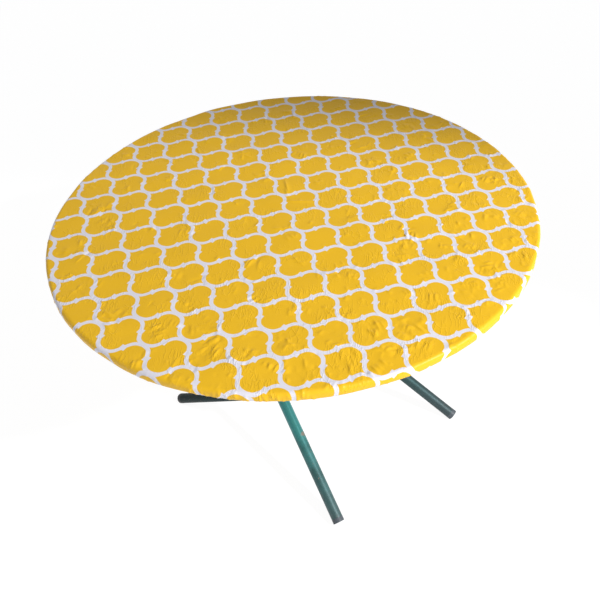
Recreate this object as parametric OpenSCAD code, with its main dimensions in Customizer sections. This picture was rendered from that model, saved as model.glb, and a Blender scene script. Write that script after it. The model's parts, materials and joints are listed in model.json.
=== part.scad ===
// Round table in a fitted, elastic-edged vinyl tablecloth.
// Origin: middle of the floor under the table. +Z up, millimetres.
// The base is four bent tubes. Each rises from its foot, crosses its partner
// beside the middle, where one bolt holds the pair, and bends up into a post.
// The posts stand on two rails that are screwed under a round board.

/* [Table top] */
// Diameter of the round board, edge band included
top_dia = 1117; // [900:1:1250]
// Thickness of the board
top_thick = 19; // [16:1:30]
// Height of the covered top above the floor
table_h = 740; // [650:1:800]
// Radial width of the moulded edge band
band_w = 8; // [7:0.5:14]
// Radius of the edge band's outer corners
band_corner_r = 6; // [2:0.5:6.5]

/* [Tablecloth] */
// Slack between the board and the cloth
cloth_gap = 0.2; // [0.1:0.1:0.5]
// Thickness of the flannel backing
backing_t = 0.8; // [0.4:0.1:1.5]
// Thickness of the vinyl face
face_t = 0.5; // [0.2:0.1:1.0]
// How far the cloth reaches in under the board, hem included
turn_under = 44; // [34:1:80]
// Width of the hem casing
casing_w = 14; // [12:1:20]
// Height of the hem casing
casing_h = 4.4; // [3.6:0.1:8]
// Width of the elastic in the hem
elastic_w = 8; // [4:0.5:9]
// Thickness of the elastic in the hem
elastic_t = 1.2; // [0.8:0.1:2]

/* [Legs] */
// Outer diameter of the leg tube
tube_d = 30; // [24:1:32]
// Wall thickness of the leg tube
tube_wall = 1.6; // [1:0.1:2.5]
// Distance of the feet from the middle, along X, midway between outer and inner
foot_x = 238.5; // [210:0.5:300]
// Distance of the feet from the middle, along Y
foot_y = 324; // [280:1:380]
// Distance of each crossing from the middle, along X
cross_x = 141; // [125:1:160]
// Height of each crossing above the floor
cross_z = 207.5; // [180:0.5:240]
// Gap between the two tubes of a pair where they cross
pair_clear = 0.5; // [0.3:0.1:2]
// Distance of the posts from the middle, along Y
post_y = 110; // [100:1:150]
// Centre-line radius of the bend below each post
bend_r = 60; // [45:1:80]

/* [Under-frame] */
// Length of each rail under the board
rail_len = 700; // [600:10:800]
// Width of each rail
rail_w = 40; // [36:1:60]
// Height of each rail
rail_h = 20; // [15:1:40]
// Wall thickness of the rails and the spreaders
rail_wall = 1.6; // [1.2:0.1:3]
// Distance of the two spreaders from the middle, along X
spreader_x = 245; // [230:5:255]
// Height of the stretchers' centre lines above the floor
stretcher_z = 480; // [400:5:600]
// Outer diameter of the stretchers
stretcher_d = 25; // [20:1:26]

/* [Feet] */
// Length of the cap that shows below each tube
cap_len = 12; // [8:1:20]
// Depth of the flat worn on each cap where it meets the floor
foot_flat = 2.5; // [1:0.5:4]

/* [Hidden] */
$fn = 96;
round_steps = 8;
tiny = 0.01;
side_x = [-1, 1];
side_y = [-1, 1];
front_left = [-1, -1];
front_right = [1, -1];
back_left = [-1, 1];
back_right = [1, 1];

// Heights, from the covered top downwards
board_top = table_h - cloth_gap - backing_t - face_t;
board_bottom = board_top - top_thick;
rail_z = board_bottom - rail_h;

// Radii of the board and the cloth
board_r = top_dia / 2;
core_r = board_r - band_w;
cloth_in_r = board_r - turn_under + casing_w;

// The foot centre stands almost one cap radius above the floor. How much
// depends a little on the lean, so it is worked out from a first estimate.
cap_r = tube_d / 2 + 0.2;
splay = foot_x - cross_x;
run = sqrt(splay * splay + foot_y * foot_y);
lean_guess = atan2(run, cross_z - 0.35 * tube_d);
foot_z = cap_r * sin(lean_guess) - foot_flat;

// The leg's straight part, from its foot up to its crossing, and its direction
rise = cross_z - foot_z;
lean = atan2(run, rise);
grade = rise / foot_y;
drift = splay / foot_y;

// The bend: its corner point, and the length of tube that it takes each way
corner_z = cross_z + grade * post_y;
bend_tan = bend_r * tan(lean / 2);
bend_swell = 0.03;
bend_lap = 0.5;
leg_len = (foot_y + post_y) * sqrt(1 + grade * grade + drift * drift);

// Tilt of the plane that each crossed pair lies in, the distance between its
// two centre lines, and how far that moves the outer and inner tube apart along X
pair_tilt = atan2(splay, rise);
pair_gap = tube_d + pair_clear;
stagger = pair_gap / cos(pair_tilt);

// Small parts
plug_len = 22;
plug_r = tube_d / 2 - tube_wall - 0.1;
rail_plug_len = 16;
spreader_w = 20;
screw_r = 2.1;
screw_head_r = 4.4;
screw_head_h = 2.6;
screw_bite = 13;
screw_hole_r = 2.3;
washer_r = 7;
washer_t = 1.2;
screw_x = [-0.45, -0.28, 0.28, 0.45];
bolt_r = 4;
bolt_hole_r = 4.3;
bolt_head_r = 7.2;
bolt_head_h = 5;
bolt_washer_r = 8.5;
nut_h = 7;
nut_r = 7.4;
insert_len = 30;
insert_start = 6;
stretcher_bite = 25;
thread_r = 0.45;

// ---------- Tablecloth ----------

// Points of a quarter turn about c, from angle start down to start - 90
function quarter(c, r, start) =
    [for (k = [0:round_steps]) let (a = start - 90 * k / round_steps) c + r * [cos(a), sin(a)]];

// Half section of the board's edge grown by d: from the top at radius top_r, out
// and round, to the underside at radius under_r
function edge_path(d, top_r, under_r) = concat(
    [[top_r, board_top + d]],
    quarter([board_r - band_corner_r, board_top - band_corner_r], band_corner_r + d, 90),
    quarter([board_r - band_corner_r, board_bottom + band_corner_r], band_corner_r + d, 0),
    [[under_r, board_bottom - d]]
);

function reversed(points) = [for (k = [len(points) - 1:-1:0]) points[k]];

// One layer of cloth, from offset near to offset far, open in the middle below
module cloth_layer(near, far) {
    rotate_extrude($fn = 360)
        polygon(concat(
            edge_path(far, 0, cloth_in_r),
            reversed(edge_path(near, 0, cloth_in_r))
        ));
}

module cloth_face() {
    color([0.92, 0.72, 0.16])
        cloth_layer(cloth_gap + backing_t, cloth_gap + backing_t + face_t);
}

module cloth_backing() {
    color([0.93, 0.92, 0.88])
        cloth_layer(cloth_gap, cloth_gap + backing_t);
}

// Half section of the hem: w by h, hung from the board, centred on the casing
module hem_section(w, h, drop) {
    translate([cloth_in_r - casing_w / 2 - w / 2, board_bottom - drop - h])
        square([w, h]);
}

module hem_casing() {
    wall = 0.9;
    color([0.90, 0.70, 0.16])
        rotate_extrude($fn = 360)
            difference() {
                hem_section(casing_w, casing_h, cloth_gap);
                hem_section(casing_w - 2 * wall, casing_h - 2 * wall, cloth_gap + wall);
            }
}

module hem_elastic() {
    color([0.95, 0.95, 0.93])
        rotate_extrude($fn = 360)
            hem_section(elastic_w, elastic_t, cloth_gap + (casing_h - elastic_t) / 2);
}

// The thread lies along the outer edge of the casing's lower side
module hem_stitching() {
    color([0.96, 0.94, 0.86])
        rotate_extrude($fn = 360)
            translate([cloth_in_r - 2, board_bottom - cloth_gap - casing_h - thread_r])
                circle(r = thread_r, $fn = 16);
}

// ---------- Board ----------

module screw_places() {
    for (sy = side_y)
        for (k = screw_x)
            translate([k * rail_len, sy * post_y, 0])
                children();
}

module top_board() {
    color([0.72, 0.58, 0.42])
        difference() {
            translate([0, 0, board_bottom])
                cylinder(r = core_r, h = top_thick, $fn = 360);
            screw_places()
                translate([0, 0, board_bottom - tiny])
                    cylinder(r = screw_hole_r, h = screw_bite + 1);
        }
}

module edge_band() {
    color([0.30, 0.27, 0.24])
        rotate_extrude($fn = 360)
            polygon(edge_path(0, core_r, core_r));
}

// ---------- Under-frame ----------

// A box tube along X, centred on X and Y, its lower face at z = 0
module box_tube(w, h, len, wall) {
    difference() {
        translate([-len / 2, -w / 2, 0])
            cube([len, w, h]);
        translate([-len / 2 - 1, -w / 2 + wall, wall])
            cube([len + 2, w - 2 * wall, h - 2 * wall]);
    }
}

module rail(sy) {
    color([0.26, 0.36, 0.37])
        translate([0, sy * post_y, rail_z])
            difference() {
                box_tube(rail_w, rail_h, rail_len, rail_wall);
                for (k = screw_x)
                    translate([k * rail_len, 0, -1])
                        cylinder(r = screw_hole_r, h = rail_h + 2);
            }
}

module rail_plugs() {
    clear = 0.1;
    flange = 2;
    plug_w = rail_w - 2 * rail_wall - 2 * clear;
    plug_h = rail_h - 2 * rail_wall - 2 * clear;
    color([0.12, 0.12, 0.12])
        for (sx = side_x)
            for (sy = side_y)
                translate([sx * rail_len / 2, sy * post_y, rail_z]) {
                    translate([sx > 0 ? 0 : -flange, -rail_w / 2, 0])
                        cube([flange, rail_w, rail_h]);
                    translate([sx > 0 ? -rail_plug_len : 0, -plug_w / 2, rail_wall + clear])
                        cube([rail_plug_len, plug_w, plug_h]);
                }
}

// Box tube along Y between the two rails
module spreader(sx) {
    color([0.26, 0.36, 0.37])
        translate([sx * spreader_x, 0, rail_z])
            rotate([0, 0, 90])
                box_tube(spreader_w, rail_h, 2 * post_y - rail_w, rail_wall);
}

module rail_screws() {
    color("silver")
        screw_places() {
            translate([0, 0, rail_z - washer_t - screw_head_h])
                cylinder(r = screw_head_r, h = screw_head_h);
            translate([0, 0, rail_z - washer_t])
                cylinder(r = screw_r, h = washer_t + rail_h + screw_bite);
        }
}

module washer(r, hole_r) {
    difference() {
        cylinder(r = r, h = washer_t);
        translate([0, 0, -1])
            cylinder(r = hole_r, h = washer_t + 2);
    }
}

module rail_washers() {
    color("silver")
        screw_places()
            translate([0, 0, rail_z - washer_t])
                washer(washer_r, screw_hole_r);
}

// ---------- Legs ----------

// +1 where a leg is the outer tube of its pair, -1 where it is the inner one.
// The pairs match when the table is turned half round.
function layer(s) = s[0] * s[1] < 0 ? 1 : -1;
function cross_at(s) = s[0] * (cross_x + layer(s) * stagger / 2);
function post_at(s) = cross_at(s) - s[0] * drift * post_y;

// Places children at the corner of a leg's bend: local +Z runs up the post, and
// the leg leaves downwards on the side of local +X
module at_corner(s) {
    translate([post_at(s), -s[1] * post_y, corner_z])
        rotate([0, 0, atan2(s[1] * foot_y, s[0] * splay)])
            children();
}

// Places children on a pair's bolt line: local +Z points up and outwards, and
// the origin is midway between the two tubes
module at_crossing(sx) {
    translate([sx * cross_x, 0, cross_z])
        rotate([0, sx * (90 - pair_tilt), 0])
            children();
}

// Solid of a bent bar of radius r that stops cut_back short of the foot centre.
// The bend is a hair thicker than the straight parts, which end just inside it.
module bent_bar(r, cut_back, over) {
    start = bend_tan - bend_lap;
    translate([0, 0, start])
        cylinder(r = r, h = rail_z - corner_z - start + over);
    translate([bend_r, 0, bend_tan])
        rotate([90, 0, 0])
            rotate([0, 0, 180])
                rotate_extrude(angle = lean)
                    translate([bend_r, 0])
                        circle(r = r + bend_swell);
    rotate([0, 180 - lean, 0])
        translate([0, 0, start])
            cylinder(r = r, h = leg_len - start - cut_back);
}

module leg(s) {
    color([0.25, 0.42, 0.42])
        difference() {
            at_corner(s)
                bent_bar(tube_d / 2, cap_len, 0);
            at_corner(s)
                bent_bar(tube_d / 2 - tube_wall, cap_len - 1, 1);
            at_crossing(s[0])
                translate([0, 0, -2 * tube_d])
                    cylinder(r = bolt_hole_r, h = 4 * tube_d);
            translate([post_at(s) - tube_d, -s[1] * post_y, stretcher_z])
                rotate([0, 90, 0])
                    cylinder(r = bolt_hole_r, h = 2 * tube_d);
        }
}

module foot_cap(s) {
    reach = 2 * tube_d;
    color([0.45, 0.48, 0.52])
        difference() {
            at_corner(s)
                rotate([0, 180 - lean, 0])
                    translate([0, 0, leg_len]) {
                        translate([0, 0, -cap_len])
                            cylinder(r = cap_r, h = cap_len);
                        translate([0, 0, -cap_len - plug_len])
                            cylinder(r = plug_r, h = plug_len + 1);
                    }
            translate([s[0] * foot_x - reach, s[1] * foot_y - reach, -reach])
                cube([2 * reach, 2 * reach, reach]);
        }
}

// ---------- Crossings ----------

cross_half = pair_gap / 2 + tube_d / 2;

module cross_bolts() {
    color("silver")
        for (sx = side_x)
            at_crossing(sx) {
                translate([0, 0, cross_half + washer_t])
                    cylinder(r = bolt_head_r, h = bolt_head_h, $fn = 6);
                translate([0, 0, -cross_half - washer_t - nut_h - 2])
                    cylinder(r = bolt_r, h = 2 * cross_half + 2 * washer_t + nut_h + 2 + tiny);
            }
}

module cross_washers() {
    color("silver")
        for (sx = side_x)
            at_crossing(sx)
                for (z = [cross_half, -cross_half - washer_t])
                    translate([0, 0, z])
                        washer(bolt_washer_r, bolt_hole_r);
}

module cross_nuts() {
    color("silver")
        for (sx = side_x)
            at_crossing(sx)
                translate([0, 0, -cross_half - washer_t - nut_h])
                    difference() {
                        cylinder(r = nut_r, h = nut_h, $fn = 6);
                        translate([0, 0, -1])
                            cylinder(r = bolt_r + 0.05, h = nut_h + 2);
                    }
}

// ---------- Stretchers ----------

// A stretcher joins the two posts on its own side; their legs stand opposite
function stretcher_legs(sy) = [[-1, -sy], [1, -sy]];

module stretcher(sy) {
    ends = [for (s = stretcher_legs(sy)) post_at(s)];
    color([0.25, 0.40, 0.40])
        translate([0, sy * post_y, stretcher_z])
            difference() {
                translate([ends[0], 0, 0])
                    rotate([0, 90, 0])
                        cylinder(d = stretcher_d, h = ends[1] - ends[0]);
                translate([ends[0] - 1, 0, 0])
                    rotate([0, 90, 0])
                        cylinder(d = stretcher_d - 2 * tube_wall, h = ends[1] - ends[0] + 2);
                for (x = ends)
                    translate([x, 0, -tube_d])
                        cylinder(d = tube_d + 0.1, h = 2 * tube_d);
            }
}

// Places children at each stretcher end: local +Z runs from the far side of the
// post, through it and into the stretcher
module stretcher_ends() {
    for (sy = side_y)
        for (s = stretcher_legs(sy))
            translate([post_at(s) + s[0] * tube_d / 2, sy * post_y, stretcher_z])
                rotate([0, -s[0] * 90, 0])
                    children();
}

module stretcher_inserts() {
    color([0.55, 0.55, 0.56])
        stretcher_ends()
            translate([0, 0, tube_d + insert_start])
                difference() {
                    cylinder(d = stretcher_d - 2 * tube_wall - 0.2, h = insert_len);
                    translate([0, 0, -1])
                        cylinder(r = bolt_r + 0.05, h = insert_len + 2);
                }
}

module stretcher_bolts() {
    color("silver")
        stretcher_ends() {
            translate([0, 0, -washer_t - bolt_head_h])
                cylinder(r = bolt_head_r, h = bolt_head_h, $fn = 6);
            translate([0, 0, -washer_t - tiny])
                cylinder(r = bolt_r, h = tube_d + insert_start + stretcher_bite);
        }
}

module stretcher_washers() {
    color("silver")
        stretcher_ends()
            translate([0, 0, -washer_t])
                washer(bolt_washer_r, bolt_hole_r);
}

cloth_face();
cloth_backing();
hem_casing();
hem_elastic();
hem_stitching();
top_board();
edge_band();
rail(-1);  // rail_front
rail(1);  // rail_back
rail_plugs();
spreader(-1);  // spreader_left
spreader(1);  // spreader_right
rail_screws();
rail_washers();
leg(front_left);  // leg_front_left
leg(front_right);  // leg_front_right
leg(back_left);  // leg_back_left
leg(back_right);  // leg_back_right
foot_cap(front_left);  // foot_cap_front_left
foot_cap(front_right);  // foot_cap_front_right
foot_cap(back_left);  // foot_cap_back_left
foot_cap(back_right);  // foot_cap_back_right
cross_bolts();
cross_washers();
cross_nuts();
stretcher(-1);  // stretcher_front
stretcher(1);  // stretcher_back
stretcher_inserts();
stretcher_bolts();
stretcher_washers();
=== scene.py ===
"""A fitted vinyl tablecloth, creased and gathered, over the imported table."""

import json
import math

import bpy
import numpy as np
from mathutils import Matrix, Vector


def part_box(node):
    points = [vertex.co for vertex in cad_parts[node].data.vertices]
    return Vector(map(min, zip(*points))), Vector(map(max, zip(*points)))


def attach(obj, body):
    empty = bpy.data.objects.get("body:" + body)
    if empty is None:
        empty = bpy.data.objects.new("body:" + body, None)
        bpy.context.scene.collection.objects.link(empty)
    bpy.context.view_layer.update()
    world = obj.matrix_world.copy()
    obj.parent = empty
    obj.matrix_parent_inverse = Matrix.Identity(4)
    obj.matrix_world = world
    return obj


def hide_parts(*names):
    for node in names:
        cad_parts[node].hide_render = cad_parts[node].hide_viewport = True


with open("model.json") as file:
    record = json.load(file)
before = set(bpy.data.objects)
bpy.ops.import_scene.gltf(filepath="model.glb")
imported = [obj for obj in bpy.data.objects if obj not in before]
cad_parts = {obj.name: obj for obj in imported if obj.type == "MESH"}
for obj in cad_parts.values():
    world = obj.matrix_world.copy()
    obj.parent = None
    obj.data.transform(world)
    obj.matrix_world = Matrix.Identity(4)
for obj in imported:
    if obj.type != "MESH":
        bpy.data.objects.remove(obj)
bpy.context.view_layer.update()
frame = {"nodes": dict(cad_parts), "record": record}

MM = 0.001
TAU = 2 * math.pi

# ---------- Sizes, all in metres ----------

face_lo, face_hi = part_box("cloth_face")
backing_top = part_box("cloth_backing")[1].z
board_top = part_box("edge_band")[1].z
casing_lo, casing_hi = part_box("hem_casing")
elastic_lo, elastic_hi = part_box("hem_elastic")
TOP_Z = face_hi.z
UNDER_Z = face_lo.z
CLOTH_R = face_hi.x
FACE_T = face_hi.z - backing_top
BOARD_GAP = 0.2 * MM
BACKING_T = backing_top - board_top - BOARD_GAP
ROUNDING = 7.5 * MM
DISC_R = CLOTH_R - ROUNDING
CASING_R = casing_hi.x
HEM_FOLD = 14 * MM
CASING_IN_R = CASING_R - HEM_FOLD
CASING_T = 0.85 * MM
ELASTIC_W = 8 * MM

# Arc lengths from the middle of the cloth, measured over its face
QUARTER = ROUNDING * math.pi / 2
SIDE_H = TOP_Z - UNDER_Z - 2 * ROUNDING
SIDE_START = DISC_R + QUARTER
UNDER_START = SIDE_START + SIDE_H + QUARTER
FACE_END = UNDER_START + DISC_R - CASING_R

# How far the printed face stands off the CAD's smooth skin
EASE = 0.9 * MM
LEAST_EASE = 0.1 * MM
GATHER_H = 2.6 * MM

# Squares across the top's mesh, and points round its border
GRID = 460
ROUND = 4 * GRID
COARSER = 4
BACKING_GRID = 96


# ---------- Creases ----------

rng = np.random.default_rng(27)

# Most creases lie near one direction, that in which the cloth was folded
FOLD_LINE = math.radians(42)
PARALLEL_SETS = 120
STARS = 80
SHORT_CREASES = 500
RIM_CREASES = 70
# The hem is pulled in most where the cloth hangs over the front left leg
PULLS = 22
FIRST_PULL, PULL_STEP = -152, 1.1


def smooth(x, low, high):
    """0 below low, 1 above high, and smooth between."""
    t = np.clip((x - low) / (high - low), 0, 1)
    return t * t * (3 - 2 * t)


def crease(at, angle, length, height, steep, shallow, bend):
    """One crease: its middle, direction, half length, height and the reach of its two sides."""
    return dict(at=at, angle=angle, length=length, height=height,
                steep=steep, shallow=shallow, bend=bend)


def parallel_set(at, angle, count, spacing, length, height):
    """A few creases side by side, as where folded cloth was pressed."""
    across = np.array([-math.sin(angle), math.cos(angle)])
    along = np.array([math.cos(angle), math.sin(angle)])
    for k in range(count):
        shift = (k - (count - 1) / 2) * spacing * rng.uniform(0.8, 1.25)
        slide = rng.normal(0, 0.25 * length)
        yield crease(
            at + across * shift + along * slide,
            angle + rng.normal(0, 0.12),
            length * rng.uniform(0.6, 1.15),
            height * rng.uniform(0.55, 1.1) * rng.choice([-1, 1], p=[0.35, 0.65]),
            rng.uniform(1.3, 2.2) * MM,
            rng.uniform(2.6, 5.5) * MM,
            rng.normal(0, 2.0),
        )


def star(at, count, length, height):
    """Creases that meet at one point, as in crumpled film."""
    start = rng.uniform(0, TAU)
    for k in range(count):
        angle = start + TAU * (k + rng.uniform(-0.28, 0.28)) / count
        half = length * rng.uniform(0.45, 1.0)
        middle = at + half * 0.8 * np.array([math.cos(angle), math.sin(angle)])
        yield crease(
            middle, angle, half,
            height * rng.uniform(0.5, 1.0) * rng.choice([-1, 1], p=[0.3, 0.7]),
            rng.uniform(1.4, 2.4) * MM,
            rng.uniform(3.0, 6.5) * MM,
            rng.normal(0, 3.0),
        )


# The creases that stand out, as (x, y, direction in degrees, half length), in mm
STRONG_CREASES = (
    (-408, -222, 25, 20), (-412, -233, 20, 17), (-318, -375, 50, 14), (-367, -380, 40, 9),
    (-270, -443, 42, 14), (-366, -330, 55, 9), (-172, -416, 52, 11), (-181, -405, 55, 9),
    (-88, -262, 40, 13), (-245, -384, -40, 13), (-190, -461, 5, 9), (-27, -429, 40, 19),
    (-20, -437, 42, 15), (262, -350, 37, 20), (204, -320, 50, 10), (228, -270, 0, 14),
    (187, -370, 43, 11), (130, -478, 63, 9), (124, -457, -40, 17), (136, -452, -35, 11),
    (117, -340, 33, 12), (330, -232, 22, 17), (34, -511, -10, 12), (205, -496, 40, 20),
    (48, 80, 57, 36), (24, 14, -50, 42), (30, 60, 62, 20), (-315, 345, 32, 26),
    (-340, 298, 35, 11), (-330, 250, 60, 16), (-410, 262, 55, 15), (300, 330, 45, 22),
)


def strong_crease(x, y, degrees, half):
    """One of the creases that stand out."""
    return crease(np.array([x, y]) * MM, math.radians(degrees), half * MM,
                  rng.uniform(2.2, 3.1) * MM, rng.uniform(1.4, 1.9) * MM,
                  rng.uniform(3.2, 5.0) * MM, rng.normal(0, 1.5))


def flat_point(max_r):
    """A random point of the flat cloth, likelier towards the front, where it is handled."""
    while True:
        p = rng.uniform(-1, 1, 2)
        r = math.hypot(*p)
        front = 0.25 * p[0] - 0.85 * p[1]
        if r < 1 and rng.uniform() < 0.28 + 0.72 * smooth(front + 0.5 * r, -0.1, 1.1):
            return p * max_r


def rim_crease(turn, reach, length, height, steep, shallow, bend):
    """A crease that runs out over the rim; each size is a range in mm, and bend is a spread."""
    at = (SIDE_START + rng.uniform(*reach) * MM) * np.array([math.cos(turn), math.sin(turn)])
    return crease(at, turn + rng.normal(0, 0.2), rng.uniform(*length) * MM,
                  rng.uniform(*height) * MM, rng.uniform(*steep) * MM,
                  rng.uniform(*shallow) * MM, rng.normal(0, bend))


def all_creases():
    """Every crease of the cloth's face."""
    for spec in STRONG_CREASES:
        yield strong_crease(*spec)
    for _ in range(PARALLEL_SETS):
        angle = FOLD_LINE + rng.normal(0, 0.4) if rng.uniform() < 0.75 else rng.uniform(0, TAU)
        yield from parallel_set(flat_point(DISC_R), angle, rng.integers(2, 5),
                                rng.uniform(6, 11) * MM, rng.uniform(9, 22) * MM,
                                rng.uniform(1.3, 2.8) * MM)
    for _ in range(STARS):
        yield from star(flat_point(DISC_R), rng.integers(3, 6),
                        rng.uniform(9, 22) * MM, rng.uniform(1.2, 2.8) * MM)
    for _ in range(SHORT_CREASES):
        yield crease(flat_point(DISC_R), FOLD_LINE + rng.normal(0, 0.8), rng.uniform(5, 12) * MM,
                     rng.uniform(-1.3, 1.9) * MM, 1.8 * MM, 3.6 * MM, rng.normal(0, 5))
    for k in range(PULLS):
        turn = math.radians(FIRST_PULL + PULL_STEP * k + rng.uniform(-0.35, 0.35))
        yield rim_crease(turn, (-3, 12), (7, 13), (1.0, 2.2), (1.5, 2.2), (2.5, 4.0), 3)
    for _ in range(RIM_CREASES):
        turn = rng.uniform(0, TAU)
        yield rim_crease(turn, (-16, 10), (7, 18), (0.4, 1.3), (1.8, 3.5), (3.5, 7), 2)


def crease_height(flat):
    """How far the creases lift each point of the flat cloth."""
    lift = np.zeros(len(flat))
    order = np.argsort(flat[:, 0], kind="stable")
    sorted_x = flat[order, 0]
    for c in all_creases():
        reach = c["length"] + 5 * c["shallow"]
        first, last = np.searchsorted(sorted_x, (c["at"][0] - reach, c["at"][0] + reach))
        near = order[first:last]
        near = near[np.abs(flat[near, 1] - c["at"][1]) < reach]
        d = flat[near] - c["at"]
        ca, sa = math.cos(c["angle"]), math.sin(c["angle"])
        along = d[:, 0] * ca + d[:, 1] * sa
        across = -d[:, 0] * sa + d[:, 1] * ca - c["bend"] * along ** 2
        taper = np.clip(1 - (along / c["length"]) ** 2, 0, 1) ** 1.5
        side = np.where(across > 0, c["steep"], c["shallow"])
        ridge = np.exp(-np.abs(across) / side)
        lift[near] += c["height"] * taper * ridge
    return lift


SWELLS = 26
SWELL_H = 0.12 * MM


def slack(flat):
    """The slow swells of loose cloth."""
    lift = np.zeros(len(flat))
    for _ in range(SWELLS):
        wave = rng.uniform(70, 210) * MM
        angle = rng.uniform(0, TAU)
        phase = rng.uniform(0, TAU)
        along = flat @ np.array([math.cos(angle), math.sin(angle)])
        lift += SWELL_H * np.sin(TAU * along / wave + phase)
    return lift


# The gathers that the elastic makes, as (how many round the hem, size, phase)
GATHERS = [
    (int(rng.integers(120, 260)), rng.uniform(0.5, 1), rng.uniform(0, TAU))
    for _ in range(9)
]


def gather(turn):
    """From 0 to about 1, the gathers' height at an angle round the hem."""
    total = sum(size * np.sin(count * turn + phase) for count, size, phase in GATHERS)
    return np.clip(0.5 + total / 4.0, 0, 1.2)


# ---------- Mesh helpers ----------

def disc_grid(n):
    """A square grid mapped evenly onto the unit disc: its points, quads and border."""
    step = np.linspace(-1, 1, n + 1)
    a, b = (g.ravel() for g in np.meshgrid(step, step, indexing="ij"))
    wide = np.abs(a) >= np.abs(b)
    safe_a = np.where(np.abs(a) < 1e-12, 1, a)
    safe_b = np.where(np.abs(b) < 1e-12, 1, b)
    r = np.where(wide, a, b)
    turn = np.where(wide, math.pi / 4 * b / safe_a, math.pi / 2 - math.pi / 4 * a / safe_b)
    points = np.stack([r * np.cos(turn), r * np.sin(turn)], 1)
    i, j = (g.ravel() for g in np.meshgrid(np.arange(n), np.arange(n), indexing="ij"))
    quads = np.stack([i * (n + 1) + j, (i + 1) * (n + 1) + j,
                      (i + 1) * (n + 1) + j + 1, i * (n + 1) + j + 1], 1)
    k = np.arange(n)
    border = np.concatenate([n * (n + 1) + k, (n - k) * (n + 1) + n, n - k, k * (n + 1)])
    return points, quads, border


def band_quads(lower, upper):
    """Quads between two closed rings of the same number of points."""
    return np.stack([lower, np.roll(lower, -1), np.roll(upper, -1), upper], 1)


def ring_blocks(first, count, size, last):
    """The bands of quads from ring last over count more rings, and the outermost ring.

    The points of the new rings are numbered on from first, size of them to a ring.
    """
    blocks = []
    for k in range(count):
        ring = first + k * size + np.arange(size)
        blocks.append(band_quads(ring, last))
        last = ring
    return blocks, last


def make_mesh(name, points, faces, flat=None):
    """An object from points and faces; flat gives each point's place on the flat cloth."""
    mesh = bpy.data.meshes.new(name)
    mesh.from_pydata(points.tolist(), [], [list(f) for f in faces])
    mesh.update()
    if flat is not None:
        layer = mesh.uv_layers.new(name="flat")
        corner = np.zeros(len(mesh.loops), np.int32)
        mesh.loops.foreach_get("vertex_index", corner)
        layer.data.foreach_set("uv", flat[corner].astype(np.float32).ravel())
    mesh.polygons.foreach_set("use_smooth", [True] * len(mesh.polygons))
    piece = bpy.data.objects.new(name, mesh)
    bpy.context.scene.collection.objects.link(piece)
    return piece


def finish_piece(piece, material, node):
    """Gives a piece its material and slot, and stands it in for its CAD node."""
    piece.data.materials.append(material)
    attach(piece, "root")
    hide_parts(node)
    return piece


def edge_profile(inset, rings):
    """Half section of the cloth past its flat disc, as (radius, z, normal r, normal z, arc).

    inset is how far the layer lies inside the cloth's outer skin.
    """
    bend = ROUNDING - inset
    rows = []
    for k in range(1, rings[0] + 1):
        a = math.pi / 2 * k / rings[0]
        rows.append((DISC_R + bend * math.sin(a), TOP_Z - ROUNDING + bend * math.cos(a),
                     math.sin(a), math.cos(a), DISC_R + ROUNDING * a))
    for k in range(1, rings[1] + 1):
        drop = SIDE_H * k / rings[1]
        rows.append((DISC_R + bend, TOP_Z - ROUNDING - drop, 1, 0, SIDE_START + drop))
    for k in range(1, rings[2] + 1):
        a = math.pi / 2 * k / rings[2]
        rows.append((DISC_R + bend * math.cos(a), UNDER_Z + ROUNDING - bend * math.sin(a),
                     math.cos(a), -math.sin(a), SIDE_START + SIDE_H + ROUNDING * a))
    for k in range(1, rings[3] + 1):
        back = (DISC_R - CASING_R) * k / rings[3]
        rows.append((DISC_R - back, UNDER_Z + inset, 0, -1, UNDER_START + back))
    return rows


def ring_points(rows, turns, lift):
    """Points of the edge rings, moved out along their normals by lift (one row per ring)."""
    out = []
    for (r, z, nr, nz, _), h in zip(rows, lift):
        rr = r + nr * h
        out.append(np.stack([rr * np.cos(turns), rr * np.sin(turns), z + nz * h + 0 * turns], 1))
    return np.concatenate(out)


def border_turns(n):
    """The angles of a disc grid's border points."""
    return -math.pi / 4 + TAU * np.arange(4 * n) / (4 * n)


# ---------- Cloth ----------

# Mesh rings round the upper rounding, the side, the lower rounding and the turn-under
EDGE_RINGS = (6, 3, 6, 8)
BACKING_RINGS = (5, 2, 5, 4)


def face_lift(flat):
    """How far each point of the face stands off the smooth skin: creases, swells and gathers."""
    lift = crease_height(flat) + slack(flat)
    arc = np.hypot(*flat.T)
    under = smooth(arc, SIDE_START + 0.6 * SIDE_H, FACE_END)
    turn = np.arctan2(flat[:, 1], flat[:, 0])
    lift = lift * (1 - 0.6 * under) + GATHER_H * under ** 1.5 * gather(turn)
    return np.maximum(EASE * (1 - under) + lift, LEAST_EASE)


def fan_faces(rim, ring):
    """Triangles between a coarse ring and one with COARSER times as many points."""
    fans = []
    for j in range(len(rim)):
        a, b = rim[j], rim[(j + 1) % len(rim)]
        first = COARSER * j
        for k in range(first, first + COARSER):
            fans.append((a, ring[(k + 1) % ROUND], ring[k]))
        fans.append((a, b, ring[(first + COARSER) % ROUND]))
    return np.array(fans)


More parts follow.
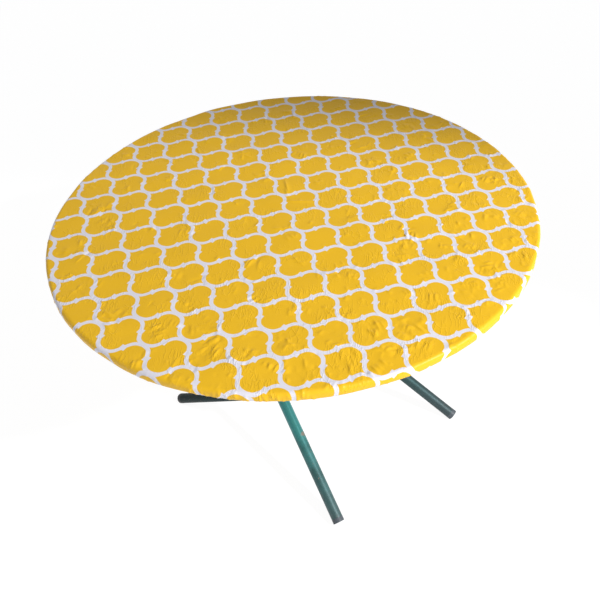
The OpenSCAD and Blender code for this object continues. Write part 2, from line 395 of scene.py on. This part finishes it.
def cloth_face():
    """The vinyl face: a fine creased outer skin, and an inner skin that is plain on the top."""
    disc, quads, border = disc_grid(GRID)
    disc = disc * DISC_R
    turns = border_turns(GRID)
    rows = edge_profile(0, EDGE_RINGS)
    spin = np.stack([np.cos(turns), np.sin(turns)], 1)
    ring_flat = np.concatenate([row[4] * spin for row in rows])
    flat = np.concatenate([disc, ring_flat])
    lift = face_lift(flat)
    ring_lift = lift[len(disc):].reshape(len(rows), -1)

    top = np.column_stack([disc, TOP_Z + lift[: len(disc)]])
    outer = np.concatenate([top, ring_points(rows, turns, ring_lift)])
    rings, last = ring_blocks(len(disc), len(rows), ROUND, border)

    # The inner skin: a coarser grid under the top, and full rings round the edge
    coarse, coarse_quads, coarse_border = disc_grid(GRID // COARSER)
    coarse = coarse * DISC_R
    inner_rows = edge_profile(FACE_T, EDGE_RINGS)
    inner_top = np.column_stack([coarse, np.full(len(coarse), TOP_Z - FACE_T)])
    settle = smooth(np.arange(len(rows)), 2, EDGE_RINGS[0] + EDGE_RINGS[1])[:, None]
    inner = np.concatenate([inner_top, ring_points(inner_rows, turns, ring_lift * settle)])
    inner_start = len(outer) + len(coarse)
    first_ring = inner_start + np.arange(ROUND)
    inner_rings, last_inner = ring_blocks(inner_start + ROUND, len(rows) - 1, ROUND, first_ring)

    blocks = [
        quads, *rings,
        coarse_quads[:, ::-1] + len(outer), *(block[:, ::-1] for block in inner_rings),
        band_quads(last_inner, last),
        fan_faces(coarse_border + len(outer), first_ring),
    ]
    faces = [face for block in blocks for face in block.tolist()]
    return make_mesh("Cloth_face", np.concatenate([outer, inner]), faces,
                     np.concatenate([flat, coarse, ring_flat]))


def cloth_backing():
    """The flannel backing, a smooth shell bonded inside the face."""
    disc, quads, border = disc_grid(BACKING_GRID)
    disc = disc * DISC_R
    turns = border_turns(BACKING_GRID)
    spin = np.stack([np.cos(turns), np.sin(turns)], 1)
    points, faces, flats = [], [], []
    start = 0
    ends = []
    for inset, flip in ((FACE_T, False), (FACE_T + BACKING_T, True)):
        rows = edge_profile(inset, BACKING_RINGS)
        skin = np.concatenate([
            np.column_stack([disc, np.full(len(disc), TOP_Z - inset)]),
            ring_points(rows, turns, np.zeros((len(rows), 1))),
        ])
        flats += [disc, *(row[4] * spin for row in rows)]
        rings, last = ring_blocks(start + len(disc), len(rows), len(turns), border + start)
        faces += [b[:, ::-1] if flip else b for b in (quads + start, *rings)]
        points.append(skin)
        ends.append(last)
        start += len(skin)
    faces.append(band_quads(ends[1], ends[0]))
    return make_mesh("Cloth_backing", np.concatenate(points), np.concatenate(faces).tolist(),
                     np.concatenate(flats))


# The hem's middle line lies this far inside the CAD casing's box, and its gathers sag and ripple
HEM_INSET = 0.45 * MM
HEM_SAG = 1.5 * MM
HEM_RIPPLE = 0.7 * MM


def hem_path():
    """The folded hem's middle line, as (radius, z, how much a gather moves it)."""
    low = casing_lo.z + HEM_INSET
    high = casing_hi.z - HEM_INSET
    out_r, in_r = CASING_R, CASING_IN_R
    mid = (low + high) / 2
    return [
        (out_r - 0.1 * MM, UNDER_Z + 0.3 * MM, 1.0), (out_r - 0.3 * MM, mid + 0.2 * MM, 1.0),
        (out_r - 0.8 * MM, low + 0.6 * MM, 1.0), (out_r - 2 * MM, low, 1.0),
        (out_r - 4.5 * MM, low - 0.1 * MM, 1.0), (out_r - 7 * MM, low - 0.2 * MM, 1.0),
        (in_r + 4.5 * MM, low - 0.1 * MM, 1.0), (in_r + 2.2 * MM, low, 0.9),
        (in_r + 0.9 * MM, low + 0.7 * MM, 0.8), (in_r + 0.45 * MM, mid, 0.5),
        (in_r + 0.9 * MM, high - 0.6 * MM, 0.2), (in_r + 2.2 * MM, high, 0),
        (in_r + 5 * MM, high, 0), (in_r + 8 * MM, high, 0), (out_r - 2.5 * MM, high, 0),
    ]


def hem_z(z, share, turn):
    """Height of a point of the hem once its gathers pull it down."""
    return z - HEM_SAG * share * gather(turn)


def hem_casing():
    """The hem: the cloth folded back over the elastic, in gathers."""
    turns = border_turns(GRID)
    path = hem_path()
    points, flats = [], []
    arc = FACE_END
    before = path[0]
    for r, z, share in path:
        arc += math.hypot(r - before[0], z - before[1])
        before = (r, z)
        rr = r + HEM_RIPPLE * share * (gather(turns + 0.004) - 0.5)
        points.append(np.stack([rr * np.cos(turns), rr * np.sin(turns), hem_z(z, share, turns)], 1))
        flats.append(arc * np.stack([np.cos(turns), np.sin(turns)], 1))
    faces = [band_quads((k + 1) * ROUND + np.arange(ROUND), k * ROUND + np.arange(ROUND))
             for k in range(len(path) - 1)]
    piece = make_mesh("Hem_casing", np.concatenate(points), np.concatenate(faces).tolist(),
                      np.concatenate(flats))
    shell = piece.modifiers.new("thickness", "SOLIDIFY")
    shell.thickness = CASING_T
    shell.offset = 0
    apply_modifiers(piece)
    return piece


def apply_modifiers(piece):
    """Replaces a piece's mesh by what its modifiers make of it."""
    depsgraph = bpy.context.evaluated_depsgraph_get()
    made = bpy.data.meshes.new_from_object(piece.evaluated_get(depsgraph), depsgraph=depsgraph)
    old = piece.data
    piece.modifiers.clear()
    piece.data = made
    bpy.data.meshes.remove(old)


def swept_ring(name, section, count, wave):
    """A closed ring whose section is a list of (radius, z), rippled up and down by wave."""
    turns = TAU * np.arange(count) / count
    points = []
    for r, z in section:
        points.append(np.stack([r * np.cos(turns), r * np.sin(turns), z + wave(turns)], 1))
    rings = [k * count + np.arange(count) for k in range(len(section))]
    faces = [band_quads(rings[k], rings[(k + 1) % len(section)]) for k in range(len(section))]
    return make_mesh(name, np.concatenate(points), np.concatenate(faces).tolist())


def hem_elastic():
    """Knitted elastic: a flat band with lengthwise ribs."""
    mid_r = elastic_hi.x - ELASTIC_W / 2
    mid_z = (elastic_lo.z + elastic_hi.z) / 2
    half_t = (elastic_hi.z - elastic_lo.z) / 2
    ribs = 5
    lower, upper = [], []
    for k in range(4 * ribs + 1):
        across = (k / (4 * ribs) - 0.5) * ELASTIC_W
        thick = half_t * (0.78 + 0.22 * abs(math.sin(math.pi * k / 4)))
        if k in (0, 4 * ribs):
            thick = 0.5 * half_t
        lower.append((mid_r + across, mid_z - thick))
        upper.append((mid_r + across, mid_z + thick))
    return swept_ring("Hem_elastic", lower + upper[::-1], 720,
                      lambda t: 0.12 * MM * np.sin(310 * t))


def hem_stitches():
    """Two-needle lockstitch round the hem: separate short threads, 3.4 mm apart."""
    pitch, long, thick = 3.4 * MM, 2.7 * MM, 0.32 * MM
    sides, steps = 6, 5
    points, faces = [], []
    for row_r in (CASING_R - 2.0 * MM, CASING_R - 4.6 * MM):
        count = int(TAU * row_r / pitch)
        for k in range(count):
            middle = TAU * k / count
            base = len(points)
            for step in range(steps):
                t = step / (steps - 1) - 0.5
                turn = middle + t * long / row_r
                sink = (2 * t) ** 4 * 0.45 * MM
                z = casing_lo.z - 0.05 * MM + sink
                z = float(hem_z(z, 1.0, turn)) - 0.1 * MM
                girth = thick * (1 - 0.55 * abs(2 * t) ** 3)
                for side in range(sides):
                    a = TAU * side / sides
                    r = row_r + girth * math.cos(a)
                    points.append((r * math.cos(turn), r * math.sin(turn), z + girth * math.sin(a)))
            for step in range(steps - 1):
                for side in range(sides):
                    a = base + step * sides + side
                    b = base + step * sides + (side + 1) % sides
                    faces.append((a, b, b + sides, a + sides))
            faces.append(tuple(base + side for side in reversed(range(sides))))
            faces.append(tuple(base + (steps - 1) * sides + side for side in range(sides)))
    return make_mesh("Hem_stitches", np.array(points), faces)


# ---------- Materials ----------

class Shader:
    """A material, with short calls that add its nodes."""

    def __init__(self, name, **constants):
        self.material = bpy.data.materials.new(name)
        self.material.use_nodes = True
        self.tree = self.material.node_tree
        self.surface = self.tree.nodes["Principled BSDF"]
        for socket, value in constants.items():
            shown = socket.replace("_", " ").title().replace("Ior", "IOR")
            self.surface.inputs[shown].default_value = value

    def node(self, kind, inputs=None, **settings):
        made = self.tree.nodes.new("ShaderNode" + kind)
        for key, value in settings.items():
            setattr(made, key, value)
        for key, value in (inputs or {}).items():
            self.put(made.inputs[key], value)
        return made

    def put(self, socket, value):
        if isinstance(value, bpy.types.NodeSocket):
            self.tree.links.new(value, socket)
        else:
            socket.default_value = value

    def math(self, operation, a, b=0.0):
        return self.node("Math", {0: a, 1: b}, operation=operation).outputs[0]

    def place(self):
        return self.node("TexCoord").outputs["Object"]

    def flat(self):
        return self.node("UVMap", uv_map="flat").outputs["UV"]

    def stretch(self, vector, scale):
        return self.node("Mapping", {"Vector": vector, "Scale": scale}).outputs["Vector"]

    def turned(self, vector, angle):
        return self.node("Mapping", {"Vector": vector, "Rotation": (0, 0, angle)}).outputs["Vector"]

    def noise(self, vector, scale, detail=3.0, rough=0.5):
        return self.node("TexNoise", {"Vector": vector, "Scale": scale, "Detail": detail,
                                      "Roughness": rough}).outputs["Fac"]

    def voronoi(self, vector, scale, output="Color", feature="F1"):
        return self.node("TexVoronoi", {"Vector": vector, "Scale": scale},
                         feature=feature).outputs[output]

    def span(self, value, low, high, to_low=0.0, to_high=1.0):
        return self.node("MapRange", {"Value": value, "From Min": low, "From Max": high,
                                      "To Min": to_low, "To Max": to_high}).outputs[0]

    def mix(self, factor, a, b):
        made = self.node("Mix", data_type="RGBA")
        colours = [s for s in made.inputs if s.type == "RGBA"]
        self.put(made.inputs[0], factor)
        self.put(colours[0], a)
        self.put(colours[1], b)
        return [s for s in made.outputs if s.type == "RGBA"][0]

    def bump(self, height, distance, strength=1.0, normal=None):
        made = self.node("Bump", {"Height": height, "Distance": distance, "Strength": strength})
        if normal is not None:
            self.put(made.inputs["Normal"], normal)
        return made.outputs["Normal"]

    def set(self, **sockets):
        for socket, value in sockets.items():
            self.put(self.surface.inputs[socket.replace("_", " ").title()], value)
        return self.material


# The print: a trellis of ogee cells in staggered rows, in metres on the flat cloth
CELL_W = 97.0 * MM
CELL_H = 118.8 * MM
PRINT_TURN = math.radians(13.1)
PRINT_X, PRINT_Y = 27.6 * MM, 7.75 * MM
BAND_HALF = 4.15 * MM
BEAD_HALF = 6.3 * MM
BEND_SHARE = 0.114
BEND_POWER = 2.57
INK_BLUR = 0.5 * MM


def trellis(s, flat):
    """1 on the white bands of the print, 0 in its cells."""
    part = s.node("SeparateXYZ", {0: flat}).outputs
    x = s.math("SUBTRACT", part[0], PRINT_X)
    y = s.math("SUBTRACT", part[1], PRINT_Y)
    ca, sa = math.cos(PRINT_TURN), math.sin(PRINT_TURN)
    along = s.math("ADD", s.math("MULTIPLY", x, ca), s.math("MULTIPLY", y, sa))
    up = s.math("SUBTRACT", s.math("MULTIPLY", y, ca), s.math("MULTIPLY", x, sa))
    u = s.math("PINGPONG", s.math("DIVIDE", along, CELL_W), 0.5)
    v = s.math("PINGPONG", s.math("DIVIDE", up, CELL_H), 0.5)
    # The band's middle line swings from one cell's side to the next cell's tip
    t = s.math("DIVIDE", s.math("SUBTRACT", v, 0.25), BEND_SHARE)
    eased = s.math("ADD", s.math("POWER", s.math("ABSOLUTE", t), BEND_POWER), 1.0)
    swing = s.math("DIVIDE", t, s.math("POWER", eased, 1 / BEND_POWER))
    middle = s.math("SUBTRACT", 0.25, s.math("MULTIPLY", swing, 0.25))
    grade = s.math("MULTIPLY", s.math("POWER", eased, -1 - 1 / BEND_POWER),
                   0.25 / BEND_SHARE * CELL_W / CELL_H)
    off = s.math("MULTIPLY", s.math("ABSOLUTE", s.math("SUBTRACT", u, middle)), CELL_W)
    leaning = s.math("SQRT", s.math("ADD", s.math("MULTIPLY", grade, grade), 1.0))
    from_band = s.math("SUBTRACT", s.math("DIVIDE", off, leaning), BAND_HALF)
    # A small square bead sits on each slanting stretch and shows as barbs
    bead_x = s.math("MULTIPLY", s.math("ABSOLUTE", s.math("SUBTRACT", u, 0.25)), CELL_W)
    bead_y = s.math("MULTIPLY", s.math("ABSOLUTE", s.math("SUBTRACT", v, 0.25)), CELL_H)
    from_bead = s.math("SUBTRACT", s.math("MAXIMUM", bead_x, bead_y), BEAD_HALF)
    nearest = s.math("MINIMUM", from_band, from_bead)
    return s.span(nearest, INK_BLUR, -INK_BLUR)


def crumple(s, flat):
    """Height of the finest creases: short kinks along the fold line, and patches of crackle."""
    patch = s.span(s.noise(flat, 13.0, 2.0), 0.50, 0.60, 0, 0.85)
    fold_wise = s.turned(flat, -FOLD_LINE)
    wander = s.noise(s.stretch(fold_wise, (1, 3.6, 1)), 28.0, 2.0, 0.5)
    kink = s.math("ABSOLUTE", s.math("SUBTRACT", wander, 0.5))
    kinks = s.math("MULTIPLY", s.span(kink, 0.0, 0.05, 1, 0), patch)
    cracked = s.span(s.noise(flat, 21.0, 2.0), 0.54, 0.64)
    cell_edge = s.voronoi(s.stretch(fold_wise, (1, 1.9, 1)), 48.0, "Distance", "DISTANCE_TO_EDGE")
    cracks = s.math("MULTIPLY", s.span(cell_edge, 0.0, 0.09, 1, 0), cracked)
    return s.math("ADD", kinks, s.math("MULTIPLY", cracks, 0.8))


def vinyl():
    """Semi-gloss printed vinyl: fine linen emboss, uneven ink, faint scuffs."""
    s = Shader("Vinyl_face", specular_ior_level=0.24)
    flat = s.flat()
    white = trellis(s, flat)
    slow = s.noise(flat, 7.0, 2.0)
    fine = s.noise(flat, 160.0, 3.0, 0.6)
    yellow = s.mix(slow, (0.78, 0.452, 0.012, 1), (0.83, 0.490, 0.018, 1))
    yellow = s.mix(s.math("MULTIPLY", fine, 0.3), yellow, (0.73, 0.40, 0.010, 1))
    band = s.mix(s.math("MULTIPLY", fine, 0.5), (0.71, 0.695, 0.765, 1), (0.66, 0.645, 0.72, 1))
    colour = s.mix(white, yellow, band)
    scuff = s.span(s.noise(s.stretch(flat, (1, 6, 1)), 55.0, 4.0, 0.7), 0.62, 0.8, 0, 0.10)
    colour = s.mix(scuff, colour, (0.86, 0.80, 0.62, 1))
    rough = s.span(s.noise(flat, 40.0, 4.0, 0.65), 0.2, 0.8, 0.36, 0.52)
    part = s.node("SeparateXYZ", {0: flat}).outputs
    threads = [s.math("SINE", s.math("MULTIPLY", part[k], TAU / (1.5 * MM))) for k in (0, 1)]
    linen = s.math("ADD", s.math("MULTIPLY", threads[0], threads[1]), s.math("MULTIPLY", fine, 2.0))
    normal = s.bump(linen, 0.04 * MM, 0.5)
    normal = s.bump(s.noise(flat, 320.0, 4.0, 0.7), 0.35 * MM, 0.35, normal)
    normal = s.bump(crumple(s, flat), 0.7 * MM, 0.8, normal)
    return s.set(base_color=colour, roughness=rough, normal=normal)


def flannel():
    """Brushed off-white backing."""
    s = Shader("Flannel", sheen_weight=0.4, sheen_roughness=0.6, specular_ior_level=0.2)
    flat = s.flat()
    lint = s.noise(flat, 900.0, 5.0, 0.75)
    colour = s.mix(lint, (0.82, 0.80, 0.74, 1), (0.66, 0.64, 0.58, 1))
    return s.set(base_color=colour, roughness=s.span(lint, 0, 1, 0.8, 1.0),
                 normal=s.bump(lint, 0.4 * MM, 0.7))


def knit(name, light, dark, pitch):
    """Ribbed thread or elastic."""
    s = Shader(name, sheen_weight=0.25, specular_ior_level=0.3)
    place = s.place()
    ribs = s.node("TexWave", {"Vector": place, "Scale": 1 / pitch / 20, "Distortion": 1.5},
                  bands_direction="DIAGONAL").outputs["Fac"]
    fuzz = s.noise(place, 1500.0, 3.0, 0.7)
    colour = s.mix(s.math("MULTIPLY", ribs, fuzz), dark, light)
    return s.set(base_color=colour, roughness=s.span(fuzz, 0, 1, 0.6, 0.85),
                 normal=s.bump(ribs, 0.2 * MM, 0.6))


def particle_board():
    """Raw chipboard: flakes of several browns under a thin sanded surface."""
    s = Shader("Particle_board", specular_ior_level=0.25)
    place = s.place()
    warped = s.stretch(place, (1, 0.45, 1))
    flake = s.voronoi(warped, 190.0)
    big = s.voronoi(s.stretch(place, (0.5, 1, 1)), 75.0)
    tone = s.node("RGBToBW", {0: s.mix(0.45, flake, big)}).outputs[0]
    ramp = s.mix(tone, (0.30, 0.185, 0.095, 1), (0.66, 0.49, 0.31, 1))
    dust = s.noise(place, 22.0, 4.0, 0.6)
    colour = s.mix(s.span(dust, 0.4, 0.75, 0, 0.35), ramp, (0.58, 0.45, 0.31, 1))
    return s.set(base_color=colour, roughness=s.span(tone, 0, 1, 0.65, 0.85),
                 normal=s.bump(tone, 0.3 * MM, 0.5))


def moulded(name, light, dark, low_rough, high_rough, grain=700.0):
    """Moulded plastic or rubber with a fine grain and handling marks."""
    s = Shader(name, specular_ior_level=0.4)
    place = s.place()
    marks = s.noise(s.stretch(place, (1, 1, 0.3)), 60.0, 5.0, 0.65)
    colour = s.mix(marks, dark, light)
    return s.set(base_color=colour, roughness=s.span(marks, 0.3, 0.7, low_rough, high_rough),
                 normal=s.bump(s.noise(place, grain, 3.0, 0.6), 0.25 * MM, 0.4))


# A rust mark on the front left leg, and its mean radius
RUST_MARK = (-0.154, -0.129, 0.145)
RUST_R = 7 * MM


def paint(name, light, dark, slate, gloss_and_painted_highlight_from, gloss=0.6):
    """Blue-green enamel on steel tube: glossier above a height, where its light colour is a painted
    highlight; rougher below, and greyer towards the feet.
    """
    s = Shader(name, specular_ior_level=gloss)
    place = s.place()
    height = s.node("SeparateXYZ", {0: place}).outputs[2]
    cloud = s.noise(place, 24.0, 5.0, 0.6)
    ragged = s.math("ADD", height, s.span(s.noise(place, 60.0, 4.0, 0.7), 0, 1, -0.012, 0.012))
    gloss_and_painted_highlight = s.span(ragged, gloss_and_painted_highlight_from, gloss_and_painted_highlight_from + 0.012)
    colour = s.mix(s.span(cloud, 0.3, 0.7), dark, light)
    # Above the given height the colour turns to the light one, a painted highlight, and the paint is
    # glossier there.
    colour = s.mix(gloss_and_painted_highlight, colour, light)
    low = s.span(height, 0.15, 0.02, 0.0, 0.9)
    tint = s.mix(low, (0.35, 0.92, 1.0, 1), (0.80, 0.96, 1.0, 1))
    # Darker and greyer towards the feet, mottled by the cloud noise.
    colour = s.mix(s.math("MULTIPLY", low, s.span(cloud, 0.25, 0.75, 0.6, 1.0)), colour, slate)
    streaks = s.noise(s.stretch(place, (1, 1, 0.12)), 210.0, 4.0, 0.7)
    colour = s.mix(s.span(streaks, 0.55, 0.75, 0, 0.30), colour, slate)
    chip_line = s.span(height, 0.0, 0.5, 0.62, 0.72)
    chips = s.math("GREATER_THAN", s.noise(place, 130.0, 6.0, 0.72), chip_line)
    colour = s.mix(chips, colour, (0.16, 0.12, 0.10, 1))
    away = s.node("VectorMath", {0: place, 1: RUST_MARK}, operation="DISTANCE").outputs["Value"]
    fray = s.span(s.noise(place, 150.0, 3.0, 0.7), 0, 1, -6 * MM, 6 * MM)
    rust = s.span(s.math("ADD", away, fray), RUST_R + 2 * MM, RUST_R - 2 * MM, 0, 0.85)
    colour = s.mix(rust, colour, (0.20, 0.13, 0.09, 1))
    rough = s.math("SUBTRACT", s.span(streaks, 0.3, 0.7, 0.46, 0.60), s.math("MULTIPLY", gloss_and_painted_highlight, 0.2))
    rough = s.math("ADD", rough, s.math("MULTIPLY", s.math("MAXIMUM", chips, rust), 0.2))
    peel = s.bump(s.noise(place, 240.0, 2.0, 0.5), 0.12 * MM, 0.35)
    normal = s.bump(s.math("MULTIPLY", chips, -1.0), 0.1 * MM, 0.8, peel)
    return s.set(base_color=colour, roughness=rough, normal=normal, specular_tint=tint)


def plated(name, light, dark, rough):
    """Zinc-plated or bare steel hardware, slightly spangled and stained."""
    s = Shader(name, metallic=1.0)
    place = s.place()
    spangle = s.node("RGBToBW", {0: s.voronoi(place, 420.0)}).outputs[0]
    stain = s.noise(place, 120.0, 5.0, 0.7)
    colour = s.mix(s.math("MULTIPLY", spangle, 0.4), light, dark)
    colour = s.mix(s.span(stain, 0.6, 0.8, 0, 0.5), colour, (0.33, 0.25, 0.17, 1))
    return s.set(base_color=colour, roughness=s.span(stain, 0.3, 0.8, rough, rough + 0.25),
                 normal=s.bump(stain, 0.06 * MM, 0.5))


# ---------- Floor, light and camera ----------

# The sky's strength falls from the horizon to overhead, as over a white studio sweep
SKY_COLOUR = (0.97, 0.98, 1, 1)
SKY_FADE = {"From Min": 0.06, "From Max": 0.34, "To Min": 0.95, "To Max": 0.35}

# The key lamp's cone thins out over the far right of the table
KEY_POWER = 1185
KEY_RADIUS = 0.17
KEY_CONE = 20.2
KEY_BLEND = 0.22
KEY_REACH = 5.0
KEY_TURN = math.radians(-76)
KEY_RISE = math.radians(32)
KEY_AIM = (-0.42, -1.50)

CAMERA_AT = (-0.8733, -1.0716, 1.7139)
CAMERA_TURN = math.radians(-43.70)
CAMERA_RISE = math.radians(42.065)
CAMERA_ROLL = math.radians(-2.846)
LENS = 43.10
LENS_SHIFT = (-0.0749, -0.0141)


def pale_floor():
    """A plain pale floor that glows a little, as a lit studio sweep does."""
    bpy.ops.mesh.primitive_plane_add(size=30, location=(0, 0, 0))
    floor = bpy.context.object
    floor.name = "Floor"
    s = Shader("Floor", specular_ior_level=0.05, emission_strength=0.93)
    s.surface.inputs["Emission Color"].default_value = (1, 1, 1, 1)
    s.set(base_color=(0.16, 0.16, 0.16, 1), roughness=0.9)
    floor.data.materials.append(s.material)


def soft_sky():
    """Light from all round, brightest near the horizon."""
    world = bpy.data.worlds.new("Studio")
    world.use_nodes = True
    nodes = world.node_tree.nodes
    links = world.node_tree.links
    sky = nodes["Background"]
    sky.inputs["Color"].default_value = SKY_COLOUR
    split = nodes.new("ShaderNodeSeparateXYZ")
    links.new(nodes.new("ShaderNodeTexCoord").outputs["Generated"], split.inputs[0])
    fade = nodes.new("ShaderNodeMapRange")
    links.new(split.outputs["Z"], fade.inputs["Value"])
    for socket, value in SKY_FADE.items():
        fade.inputs[socket].default_value = value
    links.new(fade.outputs["Result"], sky.inputs["Strength"])
    bpy.context.scene.world = world


def direction(turn, rise):
    """A unit vector at an angle round +Z and an angle above the floor."""
    return Vector((math.cos(turn) * math.cos(rise), math.sin(turn) * math.cos(rise), math.sin(rise)))


def key_lamp():
    """One soft lamp from the front, a little to the right."""
    spot = bpy.data.lights.new("Key", "SPOT")
    spot.energy = KEY_POWER
    spot.shadow_soft_size = KEY_RADIUS
    spot.spot_size = 2 * math.radians(KEY_CONE)
    spot.spot_blend = KEY_BLEND
    key = bpy.data.objects.new("Key", spot)
    key.location = direction(KEY_TURN, KEY_RISE) * KEY_REACH + Vector((0, 0, TOP_Z))
    aim = Vector((*KEY_AIM, TOP_Z))
    key.rotation_euler = (aim - key.location).to_track_quat("-Z", "Y").to_euler()
    bpy.context.scene.collection.objects.link(key)


def camera():
    """Looks down on the table from its left front, as a person standing by it does."""
    azimuth, elevation, roll = CAMERA_TURN, CAMERA_RISE, CAMERA_ROLL
    back = Vector((math.sin(azimuth) * math.cos(elevation),
                   -math.cos(azimuth) * math.cos(elevation), math.sin(elevation)))
    level = Vector((math.cos(azimuth), math.sin(azimuth), 0))
    upright = back.cross(level)
    right = math.cos(roll) * level + math.sin(roll) * upright
    up = math.cos(roll) * upright - math.sin(roll) * level
    data = bpy.data.cameras.new("Camera")
    data.lens = LENS
    data.shift_x, data.shift_y = LENS_SHIFT
    made = bpy.data.objects.new("Camera", data)
    axes = Matrix((right, up, back)).transposed().to_4x4()
    made.matrix_world = Matrix.Translation(CAMERA_AT) @ axes
    bpy.context.scene.collection.objects.link(made)
    bpy.context.scene.camera = made


# ---------- The whole object ----------

camera()
bpy.context.scene.view_settings.view_transform = "Standard"
pale_floor()
soft_sky()
key_lamp()

vinyl_material = vinyl()
thread = knit("Thread", (0.88, 0.85, 0.76, 1), (0.66, 0.62, 0.52, 1), 0.6 * MM)
face = finish_piece(cloth_face(), vinyl_material, "cloth_face")
backing = finish_piece(cloth_backing(), flannel(), "cloth_backing")
casing = finish_piece(hem_casing(), vinyl_material, "hem_casing")
elastic = finish_piece(
    hem_elastic(), knit("Elastic", (0.90, 0.90, 0.88, 1), (0.62, 0.62, 0.60, 1), 1.2 * MM),
    "hem_elastic")
stitches = finish_piece(hem_stitches(), thread, "hem_stitching")

# The front left leg's copy of the enamel: its light colour, brighter than the other copies, is a
# painted highlight.
leg_paint = paint("Leg_paint", (0.036, 0.180, 0.172, 1), (0.010, 0.046, 0.040, 1),
                  (0.036, 0.046, 0.050, 1), 0.135, 0.95)
# A darker, greyer copy of the same enamel for the right legs: painted shade, with a lower specular
# level.
dull_shaded_leg_paint = paint("Leg_paint_dull_shaded", (0.034, 0.066, 0.064, 1), (0.014, 0.036, 0.033, 1),
                   (0.036, 0.046, 0.053, 1), 0.5)
frame_paint = paint("Frame_paint", (0.04, 0.16, 0.16, 1), (0.02, 0.09, 0.09, 1),
                    (0.10, 0.12, 0.14, 1), 0.3)
# A near-black copy of the same enamel for the back left leg: painted shade, with a low specular
# level so that it stays dark.
deep_shade_leg_paint = paint("Leg_paint_deep_shade", (0.011, 0.030, 0.028, 1), (0.005, 0.016, 0.015, 1),
                   (0.016, 0.022, 0.022, 1), 0.5, 0.2)
SLOT_MATERIALS = {
    "board": particle_board(),
    "edge_band": moulded("Edge_band", (0.10, 0.085, 0.07, 1), (0.06, 0.05, 0.042, 1), 0.4, 0.6),
    "frame_paint": frame_paint,
    "leg_paint": leg_paint,
    "foot_plastic": moulded("Foot_plastic", (0.095, 0.115, 0.135, 1), (0.050, 0.062, 0.075, 1),
                            0.4, 0.65, 400.0),
    "black_plastic": moulded("Black_plastic", (0.03, 0.03, 0.032, 1), (0.012, 0.012, 0.013, 1),
                             0.35, 0.6),
    "insert_steel": plated("Insert_steel", (0.45, 0.45, 0.46, 1), (0.32, 0.32, 0.33, 1), 0.35),
    "zinc": plated("Zinc", (0.72, 0.72, 0.71, 1), (0.52, 0.53, 0.54, 1), 0.25),
}
# The right legs and the back left leg take the shaded copies of the enamel above.
OTHER_LEGS = {
    "leg_front_right": dull_shaded_leg_paint,
    "leg_back_right": dull_shaded_leg_paint,
    "leg_back_left": deep_shade_leg_paint,
    # The back left foot cap is black plastic as painted shade; the other foot caps are grey-blue.
    "foot_cap_back_left": SLOT_MATERIALS["black_plastic"],
}
for part in frame["record"]["subparts"]:
    material = SLOT_MATERIALS.get(part["material_slot"])
    material = OTHER_LEGS.get(part["node"], material)
    if material:
        node = frame["nodes"][part["node"]]
        for index in range(len(node.material_slots)):
            node.material_slots[index].material = material
